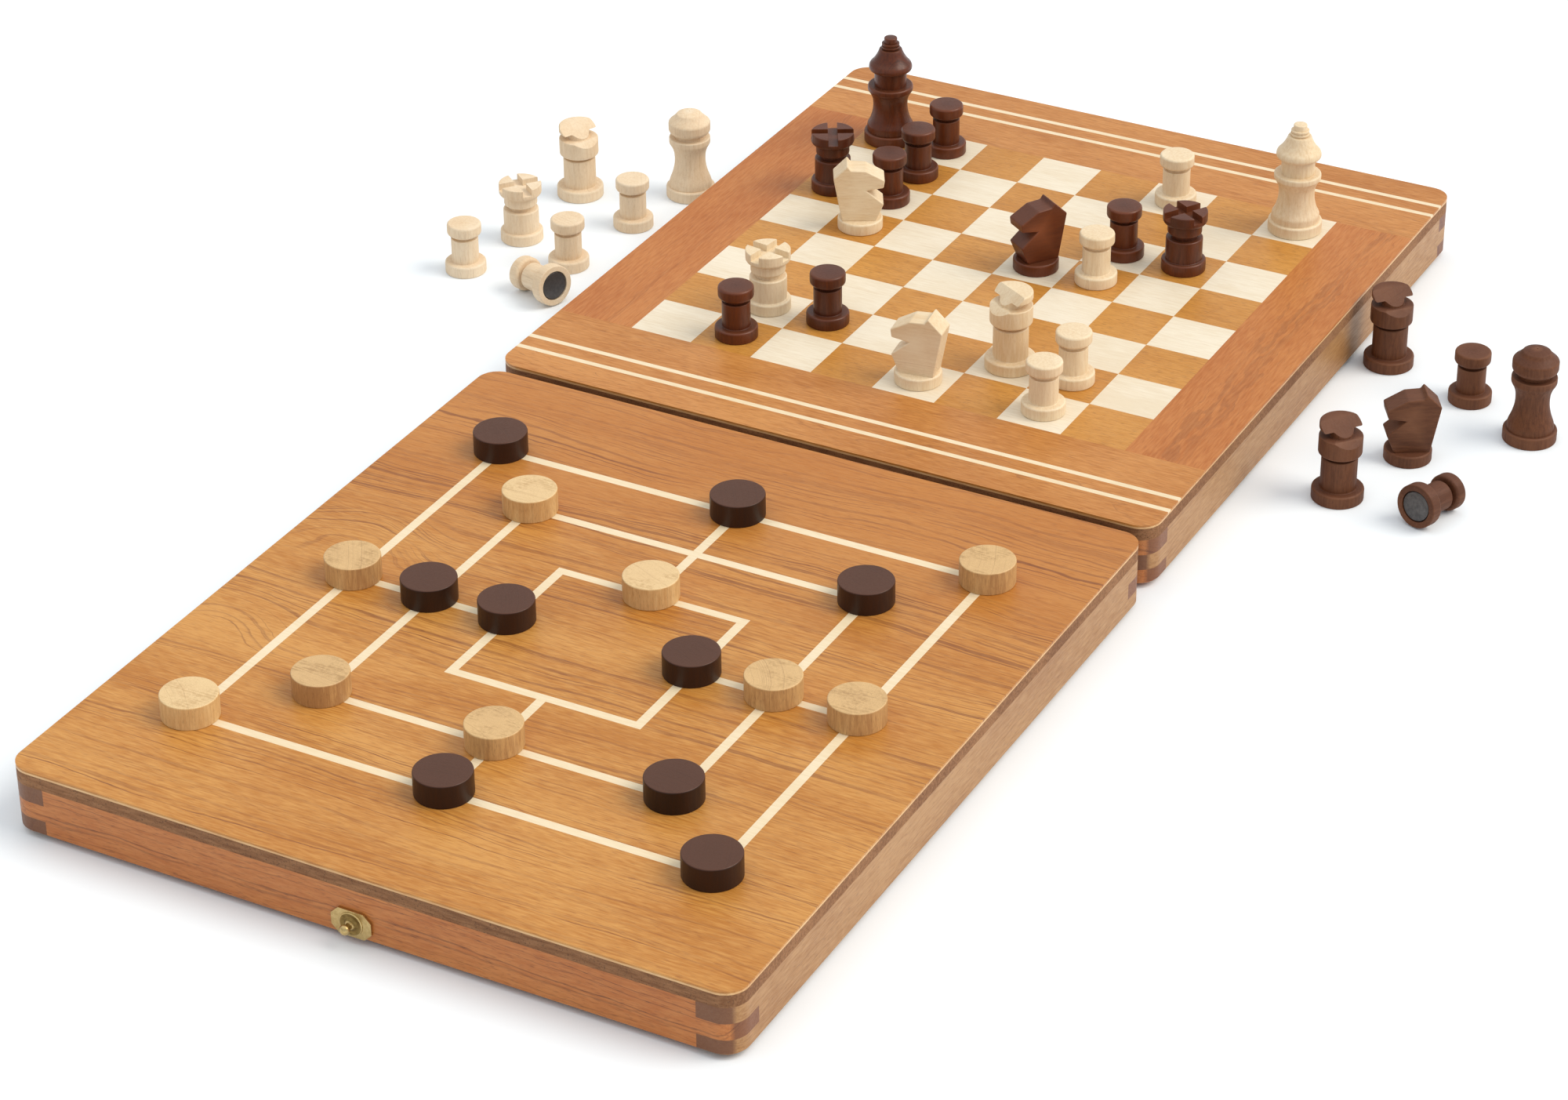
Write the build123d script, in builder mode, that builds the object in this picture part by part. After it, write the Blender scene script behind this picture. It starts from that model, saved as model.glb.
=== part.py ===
from build123d import *
import os
from math import atan, cos, degrees, radians, sin

# Games compendium box: two shallow trays hinged edge to edge, shown open with their playing faces up.
# The front tray (-Y) carries a nine men's morris board, the back tray (+Y) an 8 x 8 chess board.
# Millimetres. The origin lies under the middle of the hinge line, on the table, with +Z up.

# ---- Trays ----
tray_width = 230.0          # along X, the hinge line
tray_depth = 256.0          # along Y
corner_radius = 7.0         # upright corners
wall_thickness = 12.0
finger_height = 5.2         # one finger of the corner joints
fingers = 3                 # fingers up a wall
rim_chamfer = 0.8           # eased outer edge of the rim
core_thickness = 4.0        # fibreboard panel
crossband_thickness = 0.6   # pale veneer under the face
face_thickness = 0.6        # cherry and maple face
hinge_gap = 4.6             # between the two trays when they lie open

# ---- Chess board ----
square = 22.0
squares_across = 8
string_width = 2.0
string_inner = 19.5         # from the squares to the middle of the inner string
string_pitch = 7.7          # from the inner string to the outer one
steel_thickness = 0.5       # sheet under the squares that holds the magnets
steel_margin = 3.0          # how far the sheet runs past the squares

# ---- Nine men's morris board ----
line_width = 3.0
line_depth = 0.4            # how deep the maple lines are let into the face
inner_ring = 61.4           # side of the inner square, between middles of its lines
ring_step = 53.0            # how much longer each next square's side is

# ---- Butt hinges ----
hinge_spacing = 150.0       # between the middles of the two hinges
hinge_length = 20.0
knuckle_radius = 1.3
knuckle_gap = 0.3
hinge_pin_radius = 0.6
pin_drop = 0.15             # how far the pin's axis lies below the rims
leaf_thickness = 0.9
leaf_reach = 10.5           # from the pin's axis to the leaf's far edge
screw_spacing = 12.0        # between the two screws of one leaf
screw_radius = 1.0
screw_length = 7.0

# ---- Hook latch ----
latch_x = -2.0
latch_height = 5.0          # of its centres above the rim
plate_width = 12.7
plate_height = 8.4
plate_cut = 2.4             # cut corners of the eight-sided plates
plate_thickness = 0.8
shank_radius = 0.9
shank_length = 6.0          # in the wall
stud_flare_radius = 2.4
stud_flare_height = 0.7
stud_neck_radius = 0.8
stud_neck_end = 3.1         # from the wall's face
stud_ball_radius = 1.25
pivot_radius = 1.2
pivot_shoulder_radius = 1.9
pivot_head_radius = 2.1
pivot_head_height = 0.8
hook_thickness = 1.0
hook_stand_off = 1.8        # from the wall's face to the hook
hook_eye_radius = 2.5
hook_arm_width = 2.8
hook_jaw_radius = 2.9
hook_mouth_angle = 34.0     # degrees that the mouth's slot runs round the pivot
hook_tab_radius = 1.2
hook_tab_reach = 3.4        # from the middle of the jaw

# ---- Game pieces ----
base_height = 4.1           # the foot of each chessman
neck_height = 0.9           # the groove under each head

pawn_base_radius = 7.1
pawn_stem_radius = 4.7
pawn_neck_z = 14.2
pawn_head_radius = 5.9
pawn_height = 18.4

rook_base_radius = 7.45
rook_body_radius = 6.2
rook_neck_radius = 4.3
rook_neck_z = 12.1
rook_collar_radius = 5.8
rook_collar_z = 13.6
rook_crown_radius = 7.45
rook_crown_z = 17.4
rook_height = 21.6
rook_slot_width = 4.2
rook_slot_depth = 2.2

knight_base_radius = 7.7
knight_head_height = 20.8
knight_head_thickness = 8.4

bishop_base_radius = 8.3
bishop_stem_radius = 5.75
bishop_neck_radius = 4.8
bishop_neck_z = 15.2
bishop_head_radius = 6.95
bishop_groove_z = 23.1      # underside of the turned groove in the head
bishop_groove_height = 1.5
bishop_groove_radius = 3.8
bishop_height = 27.4
mitre_top = -2.5            # where the mitre's cut meets the top, from the axis
mitre_root = 3.9            # where it turns, at the groove
mitre_fall = 3.2            # how far its lower face falls to the side of the head

queen_base_radius = 8.7
queen_foot_radius = 7.6
queen_waist_radius = 5.4
queen_waist_z = 14.5
queen_waist_height = 3.0
queen_collar_radius = 7.4
queen_collar_z = 21.0
queen_collar_height = 1.9
queen_neck_radius = 6.2
queen_neck_z = 24.1
queen_brow_z = 28.8
queen_shoulder_radius = 5.2
queen_shoulder_z = 31.0
queen_top_radius = 4.2
queen_height = 32.5

king_base_radius = 9.15
king_tier_radius = 8.1
king_tier_z = 6.4
king_waist_radius = 6.1
king_waist_z = 12.9
king_waist_height = 3.0
king_collar_radius = 7.9
king_collar_z = 19.2
king_collar_height = 2.2
king_neck_radius = 5.65
king_bell_z = 25.9
king_brow_radius = 7.85
king_brow_z = 28.4
king_crown_radius = 3.9
king_crown_z = 35.0
king_finial_radius = 2.8
king_ring_radius = 3.15
king_cap_radius = 2.3
king_step = 1.1             # height of each step of the finial
king_height = 39.2

man_radius = 8.5            # men of the nine men's morris board
man_height = 7.4

# ---- Clearances ----
pin_clearance = 0.05        # round pins and screws
pivot_clearance = 0.08      # round the hook's pivot
latch_clearance = 0.3       # between the hook and what it passes

# ---- Sizes that follow ----
wall_height = fingers * finger_height
rim_z = knuckle_radius + pin_drop               # the knuckles' undersides are on the table
pin_z = rim_z - pin_drop
panel_z = rim_z + wall_height
crossband_z = panel_z + core_thickness
face_z = crossband_z + crossband_thickness
board_top = face_z + face_thickness
half_y = (hinge_gap + tray_depth) / 2           # from the hinge line to the middle of a tray
outer_y = hinge_gap / 2 + tray_depth            # the faces that carry the latch
board_side = squares_across * square
side_border = (tray_width - board_side) / 2
end_border = (tray_depth - board_side) / 2
string_offsets = [board_side / 2 + string_inner, board_side / 2 + string_inner + string_pitch]
rings = {"inner": inner_ring / 2, "middle": (inner_ring + ring_step) / 2, "outer": inner_ring / 2 + ring_step}
hinge_places = [-hinge_spacing / 2, hinge_spacing / 2]
screw_places = [x + s * screw_spacing / 2 for x in hinge_places for s in (-1, 1)]
leaf_start = knuckle_radius + knuckle_gap
screw_y = (hinge_gap / 2 + leaf_reach) / 2      # from the pin's axis to the screws
knuckle_length = (hinge_length - 2 * knuckle_gap) / 3
latch_z = rim_z + latch_height
latch_span = 2 * (latch_height + pin_drop)      # from the pivot to the stud when the box is shut

os.makedirs("parts", exist_ok=True)


def save(builder, name):
    builder.part.label = name
    export_step(builder.part, f"parts/{name}.step")


# ---- Trays: panels ----
def panel(y, z, thickness):
    """A sheet with the tray's rounded outline."""
    with BuildPart() as sheet:
        with BuildSketch(Plane.XY.offset(z)):
            with Locations((0, y)):
                RectangleRounded(tray_width, tray_depth, corner_radius)
        extrude(amount=thickness)
    return sheet


def steel_sheet(extra):
    """The sheet under the chess squares, or the pocket for it."""
    side = board_side + 2 * steel_margin + extra
    with BuildPart() as sheet:
        with BuildSketch(Plane.XY.offset(crossband_z - steel_thickness)):
            with Locations((0, half_y)):
                Rectangle(side, side)
        extrude(amount=steel_thickness)
    return sheet


save(panel(-half_y, panel_z, core_thickness), "mill_core_panel")
save(panel(-half_y, crossband_z, crossband_thickness), "mill_crossband")

with BuildPart() as chess_core:
    add(panel(half_y, panel_z, core_thickness).part)
    add(steel_sheet(0).part, mode=Mode.SUBTRACT)
save(chess_core, "chess_core_panel")
save(steel_sheet(0), "steel_sheet")
save(panel(half_y, crossband_z, crossband_thickness), "chess_crossband")


# ---- Nine men's morris face ----
with BuildPart() as mill_lines:
    with BuildSketch(Plane.XY.offset(board_top - line_depth)):
        with Locations((0, -half_y)):
            for half in sorted(rings.values(), reverse=True):
                Rectangle(2 * half + line_width, 2 * half + line_width)
                Rectangle(2 * half - line_width, 2 * half - line_width, mode=Mode.SUBTRACT)
        reach = rings["outer"] - rings["inner"]
        middle = (rings["outer"] + rings["inner"]) / 2
        with Locations((0, -half_y - middle), (0, -half_y + middle)):
            Rectangle(line_width, reach)
        with Locations((-middle, -half_y), (middle, -half_y)):
            Rectangle(reach, line_width)
    extrude(amount=line_depth)
save(mill_lines, "mill_line_inlay")

with BuildPart() as mill_face:
    add(panel(-half_y, face_z, face_thickness).part)
    add(mill_lines.part, mode=Mode.SUBTRACT)
save(mill_face, "mill_face_veneer")


# ---- Chess face ----
def square_centre(column, row):
    """The middle of a chess square; column 0 is at -X and row 0 by the hinge."""
    middle = (squares_across - 1) / 2
    return ((column - middle) * square, half_y + (row - middle) * square)


def squares(light):
    """Every second square of the board, each a veneer tile."""
    places = [
        square_centre(column, row)
        for column in range(squares_across)
        for row in range(squares_across)
        if ((column + row) % 2 == 0) == light
    ]
    with BuildPart() as tiles:
        with BuildSketch(Plane.XY.offset(face_z)):
            with Locations(*places):
                Rectangle(square, square)
        extrude(amount=face_thickness)
    return tiles


save(squares(light=True), "light_squares")
save(squares(light=False), "dark_squares")

with BuildPart() as stringing:
    with BuildSketch(Plane.XY.offset(face_z)):
        with Locations(*[(0, half_y + s * offset) for s in (-1, 1) for offset in string_offsets]):
            Rectangle(tray_width, string_width)
    extrude(amount=face_thickness)
    add(panel(half_y, face_z, face_thickness).part, mode=Mode.INTERSECT)
save(stringing, "maple_stringing")

with BuildPart() as side_borders:
    with BuildSketch(Plane.XY.offset(face_z)):
        with Locations(*[(s * (board_side + side_border) / 2, half_y) for s in (-1, 1)]):
            Rectangle(side_border, board_side)
    extrude(amount=face_thickness)
save(side_borders, "side_border_veneer")

with BuildPart() as end_borders:
    add(panel(half_y, face_z, face_thickness).part)
    with BuildSketch(Plane.XY.offset(face_z)):
        with Locations((0, half_y)):
            Rectangle(tray_width, board_side)
    extrude(amount=face_thickness, mode=Mode.SUBTRACT)
    add(stringing.part, mode=Mode.SUBTRACT)
save(end_borders, "end_border_veneer")


# ---- Hinges ----
def screws(side, radius_extra=0.0):
    """The screws of one tray's leaves, or their holes; side is -1 for the front tray and 1 for the back one."""
    with BuildPart() as group:
        with BuildSketch(Plane.XY.offset(rim_z)):
            with Locations(*[(x, side * screw_y) for x in screw_places]):
                Circle(screw_radius + radius_extra)
        extrude(amount=screw_length + radius_extra)
    return group


def leaf_plates(side):
    """The flat leaves let into the rim, which also give the shape of their mortises."""
    with BuildPart() as plates:
        with BuildSketch(Plane.XY.offset(rim_z)):
            with Locations(*[(x, side * (leaf_start + leaf_reach) / 2) for x in hinge_places]):
                Rectangle(hinge_length, leaf_reach - leaf_start)
        extrude(amount=leaf_thickness)
    return plates


def hinge_leaves(side, knuckles):
    """Both leaves of one tray; knuckles are the places along the barrel, 0 to 2, that they hold."""
    starts = [
        x - hinge_length / 2 + k * (knuckle_length + knuckle_gap)
        for x in hinge_places
        for k in knuckles
    ]
    with BuildPart() as leaves:
        add(leaf_plates(side).part)
        for start in starts:
            with BuildSketch(Plane.YZ.offset(start)):
                with Locations((0, pin_z)):
                    Circle(knuckle_radius)
                with Locations((side * leaf_start / 2, rim_z + leaf_thickness / 2)):
                    Rectangle(leaf_start, leaf_thickness)
                with Locations((0, pin_z)):
                    Circle(hinge_pin_radius + pin_clearance, mode=Mode.SUBTRACT)
            extrude(amount=knuckle_length)
        add(screws(side, pin_clearance).part, mode=Mode.SUBTRACT)
    return leaves


save(hinge_leaves(-1, (0, 2)), "hinge_leaves_mill")
save(hinge_leaves(1, (1,)), "hinge_leaves_chess")
save(screws(-1), "hinge_screws_mill")
save(screws(1), "hinge_screws_chess")

with BuildPart() as hinge_pins:
    for x in hinge_places:
        with BuildSketch(Plane.YZ.offset(x - hinge_length / 2)):
            with Locations((0, pin_z)):
                Circle(hinge_pin_radius)
        extrude(amount=hinge_length)
save(hinge_pins, "hinge_pins")


# ---- Hook latch ----
# Each latch solid is drawn along +Z, from the wall's face outwards, and stood on its wall by one of these.
on_front_wall = Location((latch_x, -outer_y, latch_z), (90, 0, 0))
on_back_wall = Location((latch_x, outer_y, latch_z), (-90, 0, 0))


def turned(*profile):
    """A solid turned about Z from (radius, height) corners."""
    with BuildPart() as piece:
        with BuildSketch(Plane.XZ):
            with BuildLine():
                Polyline(*profile, close=True)
            make_face()
        revolve(axis=Axis.Z)
    return piece


def stood(piece, place):
    with BuildPart() as group:
        with Locations(place):
            add(piece.part)
    return group


with BuildPart() as latch_plate:
    with BuildSketch() as plate_outline:
        Rectangle(plate_width, plate_height)
        chamfer(plate_outline.vertices(), plate_cut)
    extrude(amount=plate_thickness)
    with BuildSketch():
        Circle(shank_radius + pin_clearance)
    extrude(amount=plate_thickness, mode=Mode.SUBTRACT)

# The stud is turned from the solid: shank, flare, neck and a many-sided ball.
ball_z = stud_neck_end + stud_ball_radius - stud_neck_radius
ball_top = ball_z + 2 * stud_ball_radius - stud_neck_radius
latch_stud = turned(
    (0, -shank_length),
    (shank_radius, -shank_length),
    (shank_radius, plate_thickness),
    (stud_flare_radius, plate_thickness),
    (stud_neck_radius, plate_thickness + stud_flare_height),
    (stud_neck_radius, stud_neck_end),
    (stud_ball_radius, ball_z),
    (stud_ball_radius, ball_z + stud_ball_radius - stud_neck_radius),
    (stud_neck_radius, ball_top),
    (0, ball_top),
)

# The hook turns between the pivot's shoulder and its head.
shoulder_z = hook_stand_off - latch_clearance
head_z = hook_stand_off + hook_thickness + latch_clearance
hook_pivot = turned(
    (0, -shank_length),
    (shank_radius, -shank_length),
    (shank_radius, plate_thickness),
    (pivot_shoulder_radius, plate_thickness),
    (pivot_shoulder_radius, shoulder_z),
    (pivot_radius, shoulder_z),
    (pivot_radius, head_z),
    (pivot_head_radius, head_z),
    (pivot_head_radius * 0.6, head_z + pivot_head_height),
    (0, head_z + pivot_head_height),
)

# The mouth is a slot on an arc round the pivot, so that the stud can enter it as the hook swings.
slot_half = stud_neck_radius + latch_clearance
mouth_x = latch_span * cos(radians(hook_mouth_angle))
mouth_y = latch_span * sin(radians(hook_mouth_angle))
with BuildSketch() as hook_mouth:
    Circle(latch_span + slot_half)
    Circle(latch_span - slot_half, mode=Mode.SUBTRACT)
    with BuildLine():
        Polyline((0, 0), (2 * latch_span, 0), (2 * mouth_x, 2 * mouth_y), close=True)
    make_face(mode=Mode.INTERSECT)
    with Locations((latch_span, 0)):
        Circle(slot_half)

with BuildPart() as latch_hook:
    with BuildSketch(Plane.XY.offset(hook_stand_off)):
        Circle(hook_eye_radius)
        with Locations((latch_span / 2, 0)):
            Rectangle(latch_span, hook_arm_width)
        with Locations((latch_span, 0)):
            Circle(hook_jaw_radius)
        with Locations((latch_span + hook_tab_reach, -hook_tab_radius)):
            Circle(hook_tab_radius)
        Circle(pivot_radius + pivot_clearance, mode=Mode.SUBTRACT)
        add(hook_mouth.sketch, mode=Mode.SUBTRACT)
    extrude(amount=hook_thickness)

with BuildPart() as shank_hole:
    with BuildSketch():
        Circle(shank_radius + pin_clearance)
    extrude(amount=-shank_length - pin_clearance)

save(stood(latch_plate, on_front_wall), "latch_stud_plate")
save(stood(latch_stud, on_front_wall), "latch_stud")
save(stood(latch_plate, on_back_wall), "latch_hook_plate")
save(stood(hook_pivot, on_back_wall), "latch_hook_pivot")
save(stood(latch_hook, on_back_wall), "latch_hook")


# ---- Tray walls with finger joints ----
outer_fingers = range(0, fingers, 2)
inner_fingers = range(1, fingers, 2)


def frame_outline(tray_y):
    """The solid that the four walls of a tray fill the edge of, with its rounded corners and rim."""
    with BuildPart() as block:
        with BuildSketch(Plane.XY.offset(rim_z)):
            with Locations((0, tray_y)):
                RectangleRounded(tray_width, tray_depth, corner_radius)
        extrude(amount=wall_height)
        chamfer(block.faces().sort_by(Axis.Z)[0].edges(), rim_chamfer)
    return block


def wall(tray_y, side, along_x, through):
    """One wall; in the through fingers it runs to the tray's outer faces."""
    length = tray_width if along_x else tray_depth
    offset_x = 0 if along_x else side * (tray_width - wall_thickness) / 2
    offset_y = side * (tray_depth - wall_thickness) / 2 if along_x else 0
    with BuildPart() as board:
        for finger in range(fingers):
            run = length if finger in through else length - 2 * wall_thickness
            with BuildSketch(Plane.XY.offset(rim_z + finger * finger_height)):
                with Locations((offset_x, tray_y + offset_y)):
                    Rectangle(run, wall_thickness) if along_x else Rectangle(wall_thickness, run)
            extrude(amount=finger_height)
        add(frame_outline(tray_y).part, mode=Mode.INTERSECT)
    return board


def cut(board, *tools):
    with BuildPart() as result:
        add(board.part)
        for tool in tools:
            add(tool.part, mode=Mode.SUBTRACT)
    return result


save(
    cut(wall(-half_y, -1, True, inner_fingers), stood(shank_hole, on_front_wall)),
    "mill_front_wall",
)
save(
    cut(wall(-half_y, 1, True, inner_fingers), leaf_plates(-1), screws(-1, pin_clearance)),
    "mill_hinge_wall",
)
save(wall(-half_y, -1, False, outer_fingers), "mill_left_wall")
save(wall(-half_y, 1, False, outer_fingers), "mill_right_wall")
save(
    cut(wall(half_y, -1, True, outer_fingers), leaf_plates(1), screws(1, pin_clearance)),
    "chess_hinge_wall",
)
save(
    cut(wall(half_y, 1, True, outer_fingers), stood(shank_hole, on_back_wall)),
    "chess_back_wall",
)
save(wall(half_y, -1, False, inner_fingers), "chess_left_wall")
save(wall(half_y, 1, False, inner_fingers), "chess_right_wall")


# ---- Chessmen ----
# Each is made standing on z = 0 with its axis on Z.
def foot(radius):
    """The first corners of a chessman's profile, up its foot."""
    return (0, 0), (radius, 0), (radius, base_height)


def waist(radius, z, height):
    """The straight part of a waist, centred on z."""
    return (radius, z - height / 2), (radius, z + height / 2)


def pawn():
    return turned(
        *foot(pawn_base_radius),
        (pawn_stem_radius, base_height),
        (pawn_stem_radius, pawn_neck_z),
        (pawn_head_radius, pawn_neck_z),
        (pawn_head_radius, pawn_height),
        (0, pawn_height),
    )


def rook():
    body = turned(
        *foot(rook_base_radius),
        (rook_body_radius, base_height),
        (rook_body_radius, rook_neck_z),
        (rook_neck_radius, rook_neck_z),
        (rook_neck_radius, rook_collar_z),
        (rook_collar_radius, rook_collar_z),
        (rook_collar_radius, rook_crown_z),
        (rook_crown_radius, rook_crown_z),
        (rook_crown_radius, rook_height),
        (0, rook_height),
    )
    with BuildPart() as castle:
        add(body.part)
        with BuildSketch(Plane.XY.offset(rook_height)):
            Rectangle(3 * rook_crown_radius, rook_slot_width)
            Rectangle(rook_slot_width, 3 * rook_crown_radius)
        extrude(amount=-rook_slot_depth, mode=Mode.SUBTRACT)
    return castle


def knight():
    """A flat horse's head on a turned foot, with its muzzle towards -X."""
    with BuildPart() as horse:
        add(turned(*foot(knight_base_radius), (0, base_height)).part)
        with BuildSketch(Plane(origin=(0, 0, base_height), x_dir=(1, 0, 0), z_dir=(0, -1, 0))):
            with BuildLine():
                Polyline(
                    (-5.2, 0),
                    (6.3, 0),
                    (9.2, 15.8),
                    (4.2, knight_head_height),
                    (3.2, 19.2),
                    (-1.8, 18.9),
                    (-8.2, 15.0),
                    (-7.8, 12.2),
                    (-2.0, 11.2),
                    (-7.9, 6.2),
                    close=True,
                )
            make_face()
        extrude(amount=knight_head_thickness / 2, both=True)
    return horse


def bishop():
    """Its head has a turned groove, and a mitre cut out of the side that faces +X."""
    body = turned(
        *foot(bishop_base_radius),
        (bishop_stem_radius, base_height),
        (bishop_stem_radius, bishop_neck_z),
        (bishop_neck_radius, bishop_neck_z),
        (bishop_neck_radius, bishop_neck_z + neck_height),
        (bishop_head_radius, bishop_neck_z + neck_height),
        (bishop_head_radius, bishop_groove_z),
        (bishop_groove_radius, bishop_groove_z),
        (bishop_groove_radius, bishop_groove_z + bishop_groove_height),
        (bishop_head_radius, bishop_groove_z + bishop_groove_height),
        (bishop_head_radius, bishop_height),
        (0, bishop_height),
    )
    beyond = 2 * bishop_head_radius
    fall = mitre_fall * (beyond - mitre_root) / (bishop_head_radius - mitre_root)
    with BuildPart() as mitred:
        add(body.part)
        with BuildSketch(Plane.XZ):
            with BuildLine():
                Polyline(
                    (mitre_top, bishop_height),
                    (mitre_root, bishop_groove_z),
                    (beyond, bishop_groove_z - fall),
                    (beyond, bishop_height),
                    close=True,
                )
            make_face()
        extrude(amount=beyond, both=True, mode=Mode.SUBTRACT)
    return mitred


def queen():
    return turned(
        *foot(queen_base_radius),
        (queen_foot_radius, base_height),
        *waist(queen_waist_radius, queen_waist_z, queen_waist_height),
        (queen_collar_radius, queen_collar_z),
        (queen_collar_radius, queen_collar_z + queen_collar_height),
        (queen_neck_radius, queen_collar_z + queen_collar_height),
        (queen_neck_radius, queen_neck_z),
        (queen_collar_radius, queen_neck_z),
        (queen_collar_radius, queen_brow_z),
        (queen_shoulder_radius, queen_shoulder_z),
        (queen_top_radius, queen_height),
        (0, queen_height),
    )


def king():
    ring_z = king_crown_z + king_step
    cap_z = ring_z + king_step
    return turned(
        *foot(king_base_radius),
        (king_tier_radius, base_height),
        (king_tier_radius, king_tier_z),
        *waist(king_waist_radius, king_waist_z, king_waist_height),
        (king_collar_radius, king_collar_z),
        (king_collar_radius, king_collar_z + king_collar_height),
        (king_neck_radius, king_collar_z + king_collar_height),
        (king_neck_radius, king_bell_z),
        (king_brow_radius, king_bell_z),
        (king_brow_radius, king_brow_z),
        (king_crown_radius, king_crown_z),
        (king_finial_radius, king_crown_z),
        (king_finial_radius, ring_z),
        (king_ring_radius, ring_z),
        (king_ring_radius, cap_z),
        (king_cap_radius, cap_z),
        (king_cap_radius, king_height),
        (0, king_height),
    )


def on_square(column, row, turn=0.0):
    x, y = square_centre(column, row)
    return Location((x, y, board_top), (0, 0, turn))


def beside(side, gap, y, turn=0.0):
    """On the table, gap out from the trays' side; side is -1 or 1."""
    return Location((side * (tray_width / 2 + gap), y, 0), (0, 0, turn))


def lying_pawn(side, gap, y, turn):
    """Tipped over, so that its foot and its head touch the table; turn points its head."""
    tilt = atan((pawn_base_radius - pawn_head_radius) / (pawn_height - base_height))
    lift = base_height * sin(tilt) + pawn_base_radius * cos(tilt)
    place = (side * (tray_width / 2 + gap), y, lift)
    return Location(place, (0, 0, turn)) * Location((0, 0, 0), (0, 90 + degrees(tilt), 0))


def save_group(name, piece, places):
    """One node of the same piece at each of its places, as separate solids."""
    with BuildPart() as group:
        with Locations(*places):
            add(piece.part)
    save(group, name)


pawn_solid = pawn()
rook_solid = rook()
knight_solid = knight()
bishop_solid = bishop()
queen_solid = queen()
king_solid = king()

# A game in progress stands on the board, and the pieces that are out of it stand beside the box.
dark_on_board = {
    "dark_king": (king_solid, [on_square(0, 7)]),
    "dark_pawns_on_board": (
        pawn_solid,
        [on_square(*place) for place in [(1, 7), (1, 6), (1, 5), (5, 5), (1, 0), (2, 1)]],
    ),
    "dark_rooks": (rook_solid, [on_square(0, 5, 29), on_square(6, 5, 59)]),
    "dark_knight_on_board": (knight_solid, [on_square(4, 4, 55)]),
}
light_on_board = {
    "light_king": (king_solid, [on_square(7, 7)]),
    "light_knights": (knight_solid, [on_square(1, 4, -151), on_square(4, 0, 8)]),
    "light_rook_on_board": (rook_solid, [on_square(1, 1, -8)]),
    "light_bishop_on_board": (bishop_solid, [on_square(5, 1, -120)]),
    "light_pawns_on_board": (
        pawn_solid,
        [on_square(*place) for place in [(6, 1), (6, 0), (5, 4), (5, 7)]],
    ),
}
light_beside = {
    "light_queen": (queen_solid, [beside(-1, 25.7, 175.6)]),
    "light_bishop_beside": (bishop_solid, [beside(-1, 60.9, 157.7, -24)]),
    "light_rook_beside": (rook_solid, [beside(-1, 61.5, 118.3, 52)]),
    "light_pawns_beside": (
        pawn_solid,
        [
            beside(-1, 66.2, 88.5),
            beside(-1, 36.2, 107.7),
            beside(-1, 31.7, 144.8),
            lying_pawn(-1, 25.2, 80.2, 159),
        ],
    ),
}
dark_beside = {
    "dark_queen": (queen_solid, [beside(1, 69.7, 145.1)]),
    "dark_bishops": (bishop_solid, [beside(1, 11.5, 171.0, -55), beside(1, 28.9, 82.0, -37)]),
    "dark_knight_beside": (knight_solid, [beside(1, 39.5, 115.4, 31)]),
    "dark_pawns_beside": (pawn_solid, [beside(1, 44.0, 160.0), lying_pawn(1, 57.0, 75.3, 73)]),
}
for chessmen in (dark_on_board, light_on_board, light_beside, dark_beside):
    for name, (solid, places) in chessmen.items():
        save_group(name, solid, places)


# ---- Men of the nine men's morris game ----
with BuildPart() as man:
    with BuildSketch(Plane.XY.offset(board_top)):
        Circle(man_radius)
    extrude(amount=man_height)


def point(ring, across, along):
    """A point of the morris board; across and along are -1, 0 or 1 in X and Y."""
    return Location((across * rings[ring], -half_y + along * rings[ring], 0))


dark_men = [
    *[point("outer", *spot) for spot in [(-1, 1), (0, 1), (1, -1), (0, -1)]],
    *[point("middle", *spot) for spot in [(-1, 0), (1, -1), (1, 1)]],
    *[point("inner", *spot) for spot in [(-1, 0), (1, 0)]],
]
light_men = [
    *[point("outer", *spot) for spot in [(-1, -1), (-1, 0), (1, 1), (1, 0)]],
    *[point("middle", *spot) for spot in [(-1, 1), (-1, -1), (0, -1), (1, 0)]],
    *[point("inner", *spot) for spot in [(0, 1)]],
]
save_group("dark_mill_men", man, dark_men)
save_group("light_mill_men", man, light_men)
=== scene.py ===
# %% [markdown]
# # A games compendium box, dressed in wood and brass
# The object is two shallow cherry trays hinged edge to edge, lying open with
# their playing faces up: a chess board of veneer squares behind, and a nine
# men's morris board in front, with both sets of pieces set out.
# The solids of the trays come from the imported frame. This lesson gives them
# their finishes, turns the chessmen on a virtual lathe, and sets up the light.

# %% Load the frame
from math import atan, cos, pi, radians, sin, tau

import bmesh
import bpy
from mathutils import Matrix, Vector


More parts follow.
